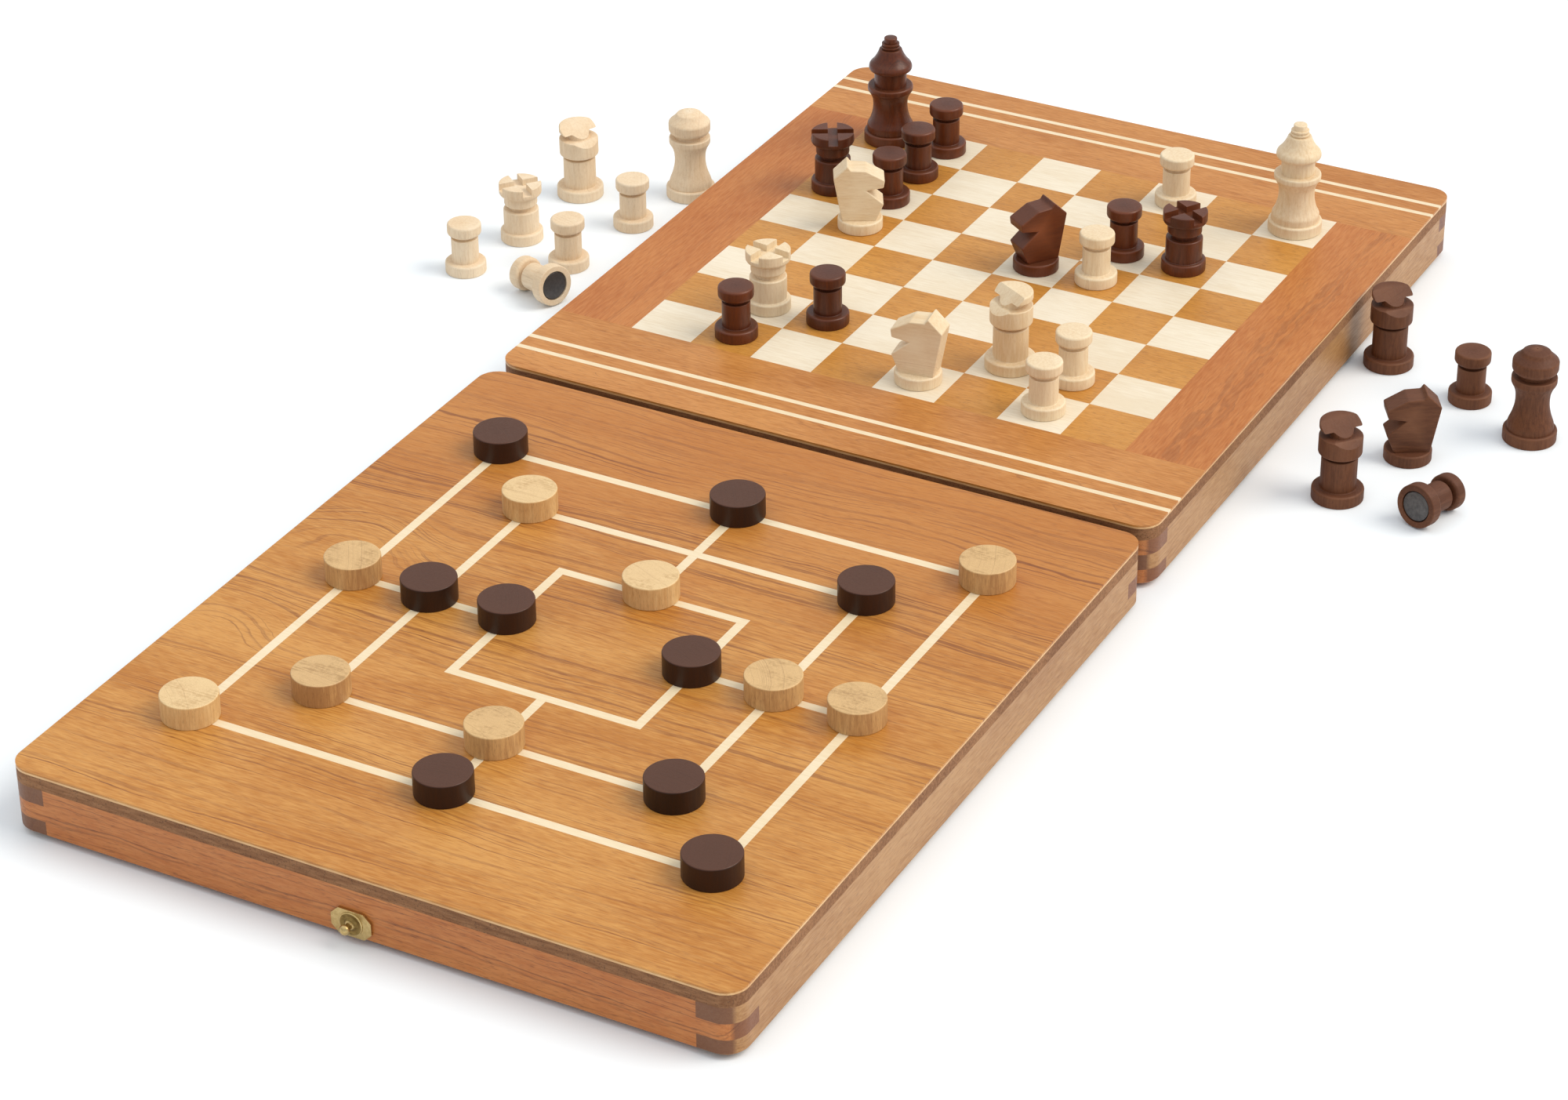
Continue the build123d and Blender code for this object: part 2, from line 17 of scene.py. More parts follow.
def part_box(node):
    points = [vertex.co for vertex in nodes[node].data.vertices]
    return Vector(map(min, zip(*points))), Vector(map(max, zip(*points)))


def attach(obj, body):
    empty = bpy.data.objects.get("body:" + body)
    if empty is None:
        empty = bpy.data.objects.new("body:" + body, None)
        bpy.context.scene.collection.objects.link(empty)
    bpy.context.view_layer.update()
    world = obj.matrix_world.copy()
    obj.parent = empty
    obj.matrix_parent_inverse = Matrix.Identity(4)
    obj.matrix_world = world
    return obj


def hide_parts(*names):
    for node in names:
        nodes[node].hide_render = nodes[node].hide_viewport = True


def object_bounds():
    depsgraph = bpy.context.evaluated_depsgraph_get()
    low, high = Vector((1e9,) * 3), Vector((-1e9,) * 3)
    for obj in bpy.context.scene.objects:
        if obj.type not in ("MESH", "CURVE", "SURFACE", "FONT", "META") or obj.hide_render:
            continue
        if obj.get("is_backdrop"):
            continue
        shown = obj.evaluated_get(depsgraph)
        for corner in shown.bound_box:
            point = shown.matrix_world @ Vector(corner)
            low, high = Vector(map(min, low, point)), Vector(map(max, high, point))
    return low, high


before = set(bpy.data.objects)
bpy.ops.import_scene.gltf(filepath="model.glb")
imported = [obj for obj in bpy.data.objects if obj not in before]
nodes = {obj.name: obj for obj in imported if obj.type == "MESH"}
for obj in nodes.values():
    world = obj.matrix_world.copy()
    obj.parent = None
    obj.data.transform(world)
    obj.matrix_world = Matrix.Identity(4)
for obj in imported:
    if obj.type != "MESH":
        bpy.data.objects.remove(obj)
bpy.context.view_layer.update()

mm = 0.001

# %% [markdown]
# ## Camera
# The view is from the front right and from above, through a long lens, so the
# edges of the boards stay nearly parallel. Its place and direction are measured
# numbers, and its focal length is given in pixels of a 2000 pixel wide image.

# %% Camera
image_width = 2000
focal_pixels = 5439.2
centre_x_pixels = 1002.4

camera_data = bpy.data.cameras.new("camera")
camera_data.sensor_width = 36.0
camera_data.lens = camera_data.sensor_width * focal_pixels / image_width
camera_data.shift_x = (image_width / 2 - centre_x_pixels) / image_width
camera_data.clip_end = 30.0
camera = bpy.data.objects.new("camera", camera_data)
camera.location = (0.53902, -1.01626, 0.68003)
camera.rotation_euler = (radians(58.844), radians(0.436), radians(28.061))
bpy.context.scene.collection.objects.link(camera)
bpy.context.scene.camera = camera
print("lens:", round(camera_data.lens, 2), "mm")

# %% [markdown]
# ## Colours and nodes
# A finish in Blender is a small tree of nodes: patterns feed colours, colours
# feed a surface. Colours are written here as web pages write them, in sRGB hex,
# so one function turns them to the linear light that Blender adds up. One more
# function adds a node with its settings and its links.

# %% Colours as sRGB hex
def srgb(code):
    """A colour written as sRGB hex, as Blender's linear RGBA."""
    channels = [int(code[i : i + 2], 16) / 255 for i in (0, 2, 4)]
    linear = [c / 12.92 if c <= 0.04045 else ((c + 0.055) / 1.055) ** 2.4 for c in channels]
    return (*linear, 1.0)


print("mid grey is", round(srgb("808080")[0], 3), "in linear light")

# %% One function adds a node
def add(tree, kind, inputs=(), **settings):
    """Adds a shader node; inputs maps a socket's name or number to a value, a node or a socket."""
    made = tree.nodes.new("ShaderNode" + kind)
    for key, value in settings.items():
        setattr(made, key, value)
    for key, value in dict(inputs).items():
        if isinstance(value, bpy.types.Node):
            value = value.outputs[0]
        if isinstance(value, bpy.types.NodeSocket):
            tree.links.new(value, made.inputs[key])
        else:
            made.inputs[key].default_value = value
    return made


def new_material(name):
    """An empty node material and its tree."""
    material = bpy.data.materials.new(name)
    material.use_nodes = True
    material.node_tree.nodes.clear()
    return material, material.node_tree


print("helpers:", add.__name__, "and", new_material.__name__)

# %% [markdown]
# ## Floor and light
# A product table is a plain pale sheet, lit so evenly that it turns white and
# only the soft shadows near the object stay. One broad sun from the upper right
# gives the shadows a side, and a pale blue sky fills them, so they look cool.
# Area lights would fade across the table; a sun and a sky light it evenly.
# The standard view transform keeps the colours that the materials are given.

# %% Floor
floor_size = 12.0
bpy.context.scene.view_settings.view_transform = "Standard"

shape = bmesh.new()
bmesh.ops.create_grid(shape, x_segments=1, y_segments=1, size=floor_size / 2)
floor_mesh = bpy.data.meshes.new("floor")
shape.to_mesh(floor_mesh)
shape.free()
floor = bpy.data.objects.new("floor", floor_mesh)
bpy.context.scene.collection.objects.link(floor)
floor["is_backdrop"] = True

# Matt laminate: a very faint mottle, no gloss.
laminate, tree = new_material("matt_white_laminate")
place = add(tree, "TexCoord")
mottle = add(tree, "TexNoise", {"Vector": place.outputs["Object"], "Scale": 30.0})
tint = add(tree, "Mix", {0: mottle, 6: srgb("eff4f9"), 7: srgb("f3f8fc")}, data_type="RGBA")
sheet = add(tree, "BsdfPrincipled",
            {"Base Color": tint.outputs[2], "Roughness": 0.9, "Specular IOR Level": 0.1})
add(tree, "OutputMaterial", {0: sheet})
floor_mesh.materials.append(laminate)
print("floor:", floor_size, "m square")

# %% Sky and sun
sky = bpy.data.worlds.new("sky")
sky.use_nodes = True
sky.node_tree.nodes.clear()
sky_strength = 0.76
glow = add(sky.node_tree, "Background", {"Color": srgb("f3f7fb"), "Strength": sky_strength})
add(sky.node_tree, "OutputWorld", {0: glow})
bpy.context.scene.world = sky


def sun(name, strength, spread, elevation, azimuth):
    """A soft distant light, in degrees; azimuth is measured from +X towards +Y."""
    data = bpy.data.lights.new(name, "SUN")
    data.energy = strength
    data.angle = radians(spread)
    light = bpy.data.objects.new(name, data)
    away = Vector((cos(radians(elevation)) * cos(radians(azimuth)),
                   cos(radians(elevation)) * sin(radians(azimuth)),
                   sin(radians(elevation))))
    light.rotation_euler = away.to_track_quat("Z", "Y").to_euler()
    bpy.context.scene.collection.objects.link(light)
    return data


key = sun("key_light", strength=2.0, spread=40, elevation=46, azimuth=20)
key.color = srgb("fff8ec")[:3]
top = sun("top_light", strength=0.5, spread=80, elevation=80, azimuth=200)
top.color = srgb("fffdf8")[:3]

# %% [markdown]
# ## Wood
# A tree is a bundle of growth rings round a pith. So the figure of a piece of
# wood starts from the distance to a line, the pith, that runs along the grain: a
# flat sheet cut across the rings gets the arches that real veneer has. Each ring
# ends in a thin dark line. Stretched noise adds the fibres and the pores, and a
# slow cloudy noise the change from honey to red-brown.
# All lengths are millimetres of real wood, measured along and across the grain.
# A vector that multiplies a place holds cycles per millimetre, so 0.16 along the
# grain draws something 6 mm long. In a MapRange node the sockets 1 to 4 are the
# range that comes in and the range that goes out, and in a Mix node 0 is the
# share and 6 and 7 are the two colours.

# %% Where in the tree a point lies
metre_in_mm = 1000
seed_along, seed_across = 37.0, 11.0
cut_along, cut_across, cut_deep = 400, 90, 30


def grain_space(tree, grain, attribute=None, tile=None, seed=0.0):
    """The point in millimetres, with the grain turned to run along X, and the plain normal."""
    place = add(tree, "TexCoord")
    start, size = place.outputs["Object"], metre_in_mm
    if attribute:
        start, size = add(tree, "Attribute", attribute_name=attribute).outputs["Vector"], 1
    turn = {"X": (0, 0, 0), "Y": (0, 0, -pi / 2), "Z": (0, pi / 2, 0)}[grain]
    where = add(tree, "Mapping", {"Vector": start, "Scale": (size, size, size), "Rotation": turn,
                                  "Location": (seed * seed_along, seed * seed_across, 0)})
    if tile:
        # Each veneer square is cut from another place of the sheet.
        *first_corner, side = tile
        corner = add(tree, "VectorMath", {0: start, 1: first_corner}, operation="SUBTRACT")
        cell = add(tree, "VectorMath", {0: corner, 1: (1 / side, 1 / side, 0)}, operation="MULTIPLY")
        whole = add(tree, "VectorMath", {0: cell}, operation="FLOOR")
        chance = add(tree, "TexWhiteNoise", {"Vector": whole})
        spread = (cut_along, cut_across, cut_deep)
        where = add(tree, "VectorMath", {0: chance.outputs["Color"], 1: spread, 2: where},
                    operation="MULTIPLY_ADD")
    return where, place.outputs["Normal"]


print("helper:", grain_space.__name__, "gives lengths in mm")

# %% Growth rings
def growth_rings(tree, where, pith, ring, line_width, sway, knots):
    """How dark the ring line is here, from 0 to 1, and the distance to the pith."""
    # The whole trunk sways a little, slowly along the grain.
    slow = add(tree, "VectorMath", {0: where, 1: (0.007, 0.025, 0.025)}, operation="MULTIPLY")
    drift = add(tree, "TexNoise", {"Vector": slow, "Scale": 1.0, "Detail": 2.5})
    swing = add(tree, "VectorMath", {0: drift.outputs["Color"], 1: (0, 2 * sway, 2 * sway), 2: where},
                operation="MULTIPLY_ADD")
    across = add(tree, "VectorMath", {0: swing, 1: (0, 1, 1), 2: (0, *pith)}, operation="MULTIPLY_ADD")
    radius = add(tree, "VectorMath", {0: across}, operation="LENGTH").outputs["Value"]
    # Small ripples, some 20 mm long, keep the lines from looking drawn with a ruler.
    ripple_at = add(tree, "VectorMath", {0: where, 1: (0.05, 0.16, 0.16)}, operation="MULTIPLY")
    ripple = add(tree, "TexNoise", {"Vector": ripple_at, "Scale": 1.0, "Detail": 3.0})
    radius = add(tree, "Math", {0: ripple, 1: 0.4 * ring, 2: radius}, operation="MULTIPLY_ADD")
    for x, y, reach, height in knots:
        # Where the trunk swells, a flat leaf is cut through the rings in arches.
        offset = add(tree, "VectorMath", {0: swing, 1: (x, y, 0)}, operation="SUBTRACT")
        flat = add(tree, "VectorMath", {0: offset, 1: (1 / reach, 1.6 / reach, 0)}, operation="MULTIPLY")
        far = add(tree, "VectorMath", {0: flat}, operation="LENGTH")
        swell = add(tree, "MapRange", {0: far.outputs["Value"], 1: 0.0, 2: 1.0, 3: height, 4: 0.0},
                    interpolation_type="SMOOTHSTEP")
        radius = add(tree, "Math", {0: radius, 1: swell}, operation="ADD")
    # Good and bad years: the rings differ in width and in strength.
    years = add(tree, "Math", {0: radius, 1: 0.37 / ring}, operation="MULTIPLY")
    uneven = add(tree, "TexNoise", {"W": years, "Detail": 2.0}, noise_dimensions="1D")
    even = add(tree, "Math", {0: radius, 1: 1 / ring}, operation="MULTIPLY")
    count = add(tree, "Math", {0: uneven, 1: 3.0, 2: even}, operation="MULTIPLY_ADD")
    season = add(tree, "Math", {0: count}, operation="FRACT")
    year = add(tree, "Math", {0: count}, operation="FLOOR")
    vigour = add(tree, "TexWhiteNoise", {"W": year}, noise_dimensions="1D")
    strength = add(tree, "MapRange", {0: vigour, 1: 0.1, 2: 0.9, 3: 0.25, 4: 1.0})
    # The late wood of a year is the dark line, sharp on its outer side.
    share = line_width / ring
    late = add(tree, "MapRange", {0: season, 1: 1.0 - share, 2: 1.0 - 0.4 * share, 3: 0.0, 4: 1.0},
               interpolation_type="SMOOTHERSTEP")
    fall = add(tree, "MapRange", {0: season, 1: 1.0 - 0.2 * share, 2: 1.0, 3: 1.0, 4: 0.0})
    line = add(tree, "Math", {0: late, 1: fall}, operation="MULTIPLY")
    # The line fades and comes back every 30 mm or so.
    fade_at = add(tree, "VectorMath", {0: where, 1: (0.03, 0.12, 0.12)}, operation="MULTIPLY")
    fade = add(tree, "TexNoise", {"Vector": fade_at, "Scale": 1.0, "Detail": 2.0})
    broken = add(tree, "MapRange", {0: fade, 1: 0.35, 2: 0.55, 3: 0.35, 4: 1.0})
    line = add(tree, "Math", {0: line, 1: strength}, operation="MULTIPLY")
    return add(tree, "Math", {0: line, 1: broken}, operation="MULTIPLY"), radius


print("helper:", growth_rings.__name__, "draws the ring lines")

# %% The wood material
fibre_relief = 0.00006


def wood(name, ground, pale, dark, grain="X", pith=(30.0, 45.0), ring=6.0, line=0.5,
         line_width=1.0, fibre=0.5, pores=0.35, pore_size=(3.2, 0.3), clouds=0.6, sway=7.0,
         knots=(), roughness=0.42, bump=0.25, end_grain_and_top_light_colour=None, end_marks=None, heart=None,
         worn_and_highlight_colour=None, gloss=0.5, **spot):
    """Wood between a ground and a pale tone; rings and pores pull it towards a dark one."""
    material, tree = new_material(name)
    where, normal = grain_space(tree, grain, **spot)
    rings, radius = growth_rings(tree, where, pith, ring, line_width, sway, knots)
    # Fibres show as streaks 6 mm long and under 1 mm wide.
    fibre_at = add(tree, "VectorMath", {0: where, 1: (0.16, 1.3, 1.3)}, operation="MULTIPLY")
    fibres = add(tree, "TexNoise", {"Vector": fibre_at, "Scale": 1.0, "Detail": 4.0})
    length, width = pore_size
    pore_grid = (1 / length, 1 / width, 1 / width)
    pore_at = add(tree, "VectorMath", {0: where, 1: pore_grid}, operation="MULTIPLY")
    pore = add(tree, "TexNoise", {"Vector": pore_at, "Scale": 1.0, "Detail": 1.0})
    pit = add(tree, "MapRange", {0: pore, 1: 0.56, 2: 0.74, 3: 0.0, 4: 1.0})
    # Clouds are about 70 mm long and 20 mm wide.
    cloud_at = add(tree, "VectorMath", {0: where, 1: (0.014, 0.05, 0.05)}, operation="MULTIPLY")
    cloud = add(tree, "TexNoise", {"Vector": cloud_at, "Scale": 1.0, "Detail": 3.0})
    # Cloudy tone first, then the fibres, and both decide between ground and pale.
    soft = add(tree, "MapRange", {0: cloud, 1: 0.25, 2: 0.75, 3: 0.5 - clouds, 4: 0.5 + clouds})
    tone = add(tree, "MapRange", {0: fibres, 1: 0.3, 2: 0.7, 3: -fibre, 4: fibre})
    blend = add(tree, "Math", {0: soft, 1: tone}, operation="ADD", use_clamp=True)
    colour = add(tree, "Mix", {0: blend, 6: srgb(ground), 7: srgb(pale)}, data_type="RGBA").outputs[2]
    if heart:
        # The older wood near the pith is redder.
        heart_colour, near, far = heart
        old = add(tree, "MapRange", {0: radius, 1: near, 2: far, 3: 0.65, 4: 0.0})
        old_tone = srgb(heart_colour)
        colour = add(tree, "Mix", {0: old, 6: colour, 7: old_tone}, data_type="RGBA").outputs[2]
    if end_grain_and_top_light_colour:
        # End grain soaks up more lacquer, so on the walls it is darker and redder; on the
        # upright-grained beech men the same mask gives the flat tops a lighter tone, as painted light
        # and sheen.
        axis = {"X": (1, 0, 0), "Y": (0, 1, 0), "Z": (0, 0, 1)}[grain]
        facing = add(tree, "VectorMath", {0: normal, 1: axis}, operation="DOT_PRODUCT")
        plain = add(tree, "Math", {0: facing.outputs["Value"]}, operation="ABSOLUTE")
        end = add(tree, "MapRange", {0: plain, 1: 0.6, 2: 0.75, 3: 0.0, 4: 0.85})
        end_and_top_light_tone = srgb(end_grain_and_top_light_colour)
        if end_marks:
            # The saw tears the end grain in patches and leaves straight scores across it.
            patch_at = add(tree, "VectorMath", {0: where, 1: (0.1, 0.13, 0.13)}, operation="MULTIPLY")
            patch = add(tree, "TexNoise", {"Vector": patch_at, "Scale": 1.0, "Detail": 1.0})
            torn = add(tree, "MapRange", {0: patch, 1: 0.46, 2: 0.6, 3: 0.12, 4: 1.0})
            speck_at = add(tree, "VectorMath", {0: where, 1: (0.3, 0.9, 0.9)}, operation="MULTIPLY")
            speck = add(tree, "TexNoise", {"Vector": speck_at, "Scale": 1.0, "Detail": 3.0})
            score_at = add(tree, "VectorMath", {0: where, 1: (0.1, 1.9, 0.14)}, operation="MULTIPLY")
            score = add(tree, "TexNoise", {"Vector": score_at, "Scale": 1.0, "Detail": 1.0})
            both = add(tree, "Math", {0: speck, 1: score}, operation="ADD")
            marks = add(tree, "MapRange", {0: both, 1: 0.85, 2: 1.25, 3: 0.0, 4: 0.65})
            marks = add(tree, "Math", {0: marks, 1: torn}, operation="MULTIPLY")
            end_and_top_light_tone = add(tree, "Mix", {0: marks, 6: end_and_top_light_tone, 7: srgb(end_marks)},
                           data_type="RGBA").outputs[2]
        colour = add(tree, "Mix", {0: end, 6: colour, 7: end_and_top_light_tone}, data_type="RGBA").outputs[2]
    ring_share = add(tree, "Math", {0: rings, 1: line}, operation="MULTIPLY")
    share = add(tree, "Math", {0: pit, 1: pores, 2: ring_share}, operation="MULTIPLY_ADD",
                use_clamp=True)
    colour = add(tree, "Mix", {0: share, 6: colour, 7: srgb(dark)}, data_type="RGBA").outputs[2]
    if worn_and_highlight_colour:
        # Handling rubs the stain from the edges, in patches; the paler tone on the convex edges is
        # partly that wear and partly a painted highlight.
        edge = add(tree, "Attribute", attribute_name="edge_wear_and_highlight").outputs["Fac"]
        patchy = add(tree, "MapRange", {0: cloud, 1: 0.3, 2: 0.7, 3: 0.25, 4: 1.0})
        rubbed_and_lit = add(tree, "Math", {0: edge, 1: patchy}, operation="MULTIPLY", use_clamp=True)
        bare_and_lit = srgb(worn_and_highlight_colour)
        colour = add(tree, "Mix", {0: rubbed_and_lit, 6: colour, 7: bare_and_lit}, data_type="RGBA").outputs[2]
    # The polish varies a little from fibre to fibre.
    dull = add(tree, "MapRange",
               {0: fibres, 1: 0.3, 2: 0.7, 3: roughness + 0.06, 4: roughness - 0.06})
    height = add(tree, "Math", {0: pit, 1: -0.6, 2: fibres}, operation="MULTIPLY_ADD")
    relief = add(tree, "Bump", {"Height": height, "Strength": bump, "Distance": fibre_relief})
    body = add(tree, "BsdfPrincipled", {"Base Color": colour, "Roughness": dull, "Normal": relief,
                                        "IOR": 1.5, "Specular IOR Level": gloss})
    add(tree, "OutputMaterial", {0: body})
    return material


def finish_node(material, *names):
    """Gives carried-over solids their material."""
    for name in names:
        slots = nodes[name].data.materials
        slots.clear()
        slots.append(material)


print("helpers:", wood.__name__, "and", finish_node.__name__)

# %% [markdown]
# ## Veneer, walls and board
# Each tray's face is a sheet of thin veneers glued on fibreboard, and its walls
# are solid cherry. They could be painted as one large image, but then every cut
# edge would need its own. With wood made from the place of a point, one cut
# shows on the face and on the edge alike, and each leaf only needs its colours,
# the way its grain runs and how far from the pith it was cut.

# %% Cherry
# Satin lacquer over honey-coloured veneer: thin brown lines, short pores, soft clouds.
# Where the leaf cuts a swelling of the trunk: its place, its reach and its height, in mm.
knots = [(-96, -101, 34, 13), (-106, -156, 30, 11)]
mill_face = wood("satin_cherry_veneer", "b27228", "ca9048", "6a3212", pith=(-60.0, 60.0), ring=5.2,
                 line=0.72, line_width=1.9, heart=("b26c2a", 115.0, 200.0), fibre=0.5, pores=0.3,
                 sway=8.0, knots=knots)
finish_node(mill_face, "mill_face_veneer")
end_border = wood("satin_cherry_border", "ae6c28", "c58644", "66330f", ring=13.0, line=0.4,
                  sway=16.0, seed=2)
finish_node(end_border, "end_border_veneer")
# The side borders come from a redder leaf, with the grain along the board.
side_border = wood("satin_cherry_side_border", "ac6222", "be7838", "66330f", "Y", ring=13.0,
                   line=0.35, pores=0.2, seed=3)
finish_node(side_border, "side_border_veneer")
# The middle of the chess board lies at half_y; its squares are cut from there on.
half_y, square = 130.3, 22.0
first_square = (0, half_y * mm, 0, square * mm)
cherry_squares = wood("cherry_veneer_squares", "b87a2c", "c98e42", "66330f", ring=9.0, line=0.25,
                      fibre=0.4, pores=0.5, pore_size=(2.6, 0.25), clouds=0.5, tile=first_square,
                      seed=1)
finish_node(cherry_squares, "dark_squares")
print("cherry veneers:", mill_face.name, end_border.name, side_border.name, cherry_squares.name)

# %% Maple
# Almost white, with a silky grain that hardly shows.
maple_squares = wood("maple_veneer_squares", "dfcfb4", "e8dcc6", "b5946a", ring=7.0, line=0.12,
                     fibre=0.45, pores=0.12, tile=first_square)
maple_line = wood("maple_line", "e2cda8", "e8d6b6", "b5946a", line=0.1, pores=0.12)
finish_node(maple_squares, "light_squares")
finish_node(maple_line, "mill_line_inlay", "maple_stringing")
print("maple veneers:", maple_squares.name, maple_line.name)

# %% Solid cherry walls
# Plain solid wood with small pores; the fingers of the corner joints show end grain.
wall_x = wood("satin_cherry_wall_across", "b06427", "c07838", "56260c", pith=(20.0, 130.0),
              ring=4.5, line=0.6, line_width=1.3, sway=3.0, clouds=0.4, pores=0.4,
              pore_size=(2.4, 0.3), end_grain_and_top_light_colour="6c3e20", seed=4)
# The walls along the board are less red and greyer than those across it, as painted sheen.
sheened_wall_y = wood("satin_cherry_wall_along_painted_sheen", "9a6a3a", "b08352", "5e3418", "Y", ring=7.0, line=0.45,
              pores=0.4, pore_size=(2.4, 0.3), end_grain_and_top_light_colour="68381a", seed=5)
finish_node(wall_x, "mill_front_wall", "mill_hinge_wall", "chess_hinge_wall", "chess_back_wall")
finish_node(sheened_wall_y, "mill_left_wall", "mill_right_wall", "chess_left_wall", "chess_right_wall")
print("walls:", wall_x.name, sheened_wall_y.name)

# %% Fibreboard and crossband
# Ground wood fibre, sanded at the edge: brown, felty, no grain to speak of. The
# crossband is a plain pale veneer between the board and the face.
fibreboard = wood("sanded_fibreboard", "784c29", "94663e", "38200f", ring=2.0, line=0.1,
                  fibre=0.6, pores=0.6, pore_size=(0.5, 0.4), roughness=0.75)
crossband = wood("pale_crossband", "cd9b64", "deb580", "94683c", line=0.1)
finish_node(fibreboard, "mill_core_panel", "chess_core_panel")
finish_node(crossband, "mill_crossband", "chess_crossband")
print("board:", fibreboard.name, crossband.name)

# %% [markdown]
# ## Turned beech
# The men are beech with the grain upright, so growth rings cross their tops in arcs
# and their sides show short flecks. Stain and wax make seven finishes of one wood;
# one is the dark stain painted lighter for the dark men beside the trays, as painted light.
# The grain of each man starts from a place stored on its mesh, which differs from
# man to man, so no two look alike and a man keeps its grain when it is lifted.

# %% Stained and waxed beech
# Turned beech shows short flecks along its sides; on most finishes its flat end-grain faces, the tops,
# get a lighter tone, as painted light and sheen.
# The men are worn paler at the edges, partly real wear and partly a painted highlight; the dark ones are
# satin and the pale ones have a dull wax.
beech = {"grain": "Z", "attribute": "grain_place", "pith": (9.0, 14.0), "sway": 2.0,
         "pore_size": (1.6, 0.16)}
# On the men the end tone is lighter than the ground: the flat tops get painted light and sheen.
dark_wood = wood("dark_stained_beech", "421805", "5a270d", "160703", ring=2.6, line=0.35,
                 line_width=0.4, pores=0.4, clouds=0.9, roughness=0.36, gloss=0.35,
                 end_grain_and_top_light_colour="502a18", worn_and_highlight_colour="84482a", **beech)
# The dark men beside the trays get a lighter copy of the stain, as painted light.
dark_wood_painted_lighter = wood("dull_dark_beech_painted_lighter", "4e2710", "66391c", "200c04", ring=2.6, line=0.35,
                      line_width=0.4, pores=0.5, clouds=0.9, roughness=0.6, gloss=0.3,
                      end_grain_and_top_light_colour="5a3422", worn_and_highlight_colour="86583c", **beech)
pale_wood = wood("pale_waxed_beech", "d8ba90", "e8d4b4", "a87c50", ring=2.6, line=0.25,
                 line_width=0.5, fibre=0.35, pores=0.25, roughness=0.5, worn_and_highlight_colour="ecdcbc",
                 **beech)
raw_wood = wood("raw_beech", "d8ba94", "e7d2b4", "a07c54", ring=2.6, line=0.25, line_width=0.5,
                fibre=0.3, pores=0.3, roughness=0.7, worn_and_highlight_colour="e8dac2", **beech)
# The black men get far lighter tops from the end tone, as painted sheen.
black_wood = wood("black_stained_beech", "170602", "240d05", "0c0301", ring=1.7, line=0.4,
                  line_width=0.3, pores=0.35, roughness=0.4, gloss=0.3, end_grain_and_top_light_colour="563524",
                  worn_and_highlight_colour="5c3828", **beech)
tan_wood = wood("tan_waxed_beech", "a67848", "cba068", "74492a", ring=2.4, line=0.4,
                line_width=0.5, pores=0.55, clouds=1.0, roughness=0.5, end_grain_and_top_light_colour="d4b07c",
                end_marks="94703f", worn_and_highlight_colour="dcb880", **beech)
honey_wood = wood("honey_waxed_beech", "c39257", "d9b27a", "84592f", ring=2.4, line=0.3,
                  line_width=0.5, pores=0.5, roughness=0.5, end_grain_and_top_light_colour="e0c292",
                  end_marks="ac8654", worn_and_highlight_colour="e4c894", **beech)
print("beech:", [m.name for m in bpy.data.materials if "beech" in m.name])

# %% [markdown]
# ## Brass and steel
# The hinges and the latch are stamped from rolled brass and then polished, and a
# thin sheet of cold-rolled steel under the chess squares holds the men's magnets.
# Handling leaves marks that are too fine to show from here, so a noise of about
# one cycle per millimetre stands for them. It shifts the colour, the roughness
# and a very low relief together, as a real scratch does.

# %% Brass and steel
mark_relief = 0.00003


def metal(name, colour, worn, roughness):
    """Polished sheet metal with fine marks."""
    material, tree = new_material(name)
    place = add(tree, "TexCoord")
    marks = add(tree, "TexNoise", {"Vector": place.outputs["Object"], "Scale": 900.0, "Detail": 3.0})
    tint = add(tree, "Mix", {0: marks, 6: srgb(worn), 7: srgb(colour)}, data_type="RGBA")
    dull = add(tree, "MapRange",
               {0: marks, 1: 0.3, 2: 0.7, 3: roughness + 0.08, 4: roughness - 0.05})
    relief = add(tree, "Bump", {"Height": marks, "Strength": 0.15, "Distance": mark_relief})
    body = add(tree, "BsdfPrincipled", {"Base Color": tint.outputs[2], "Roughness": dull,
                                        "Metallic": 1.0, "Normal": relief})
    add(tree, "OutputMaterial", {0: body})
    return material


brass = metal("polished_brass", "d6be88", "a88a52", 0.3)
# A darker brass for the dish of the latch stud, as painted shade.
dish_shade_brass = metal("dull_brass_painted_shade", "a88c54", "6e5830", 0.5)
steel = metal("cold_rolled_steel", "b4b6b8", "8c8f92", 0.4)
magnet = metal("dull_nickel_magnet", "6e6a68", "4c4a4a", 0.5)
finish_node(brass, "hinge_leaves_mill", "hinge_leaves_chess", "hinge_pins", "hinge_screws_mill",
            "hinge_screws_chess", "latch_stud_plate", "latch_stud", "latch_hook_plate",
            "latch_hook_pivot", "latch_hook")
finish_node(steel, "steel_sheet")
print("metals:", brass.name, dish_shade_brass.name, steel.name, magnet.name)

# %% [markdown]
# ## The lathe
# Every chessman but the knight's head is turned wood. On a lathe a gouge shapes
# a profile while the blank spins, so here a line of corners is drawn, each
# corner is rounded by a bevel of its own, and the line is spun round the axis.
# A Screw modifier on a curve could do it too, but bmesh operators leave a plain
# mesh that the next steps can saw, copy and move.

# %% Turned shapes
wide_rounding = 1
merge_distance = 0.005
sharp_from = radians(40)


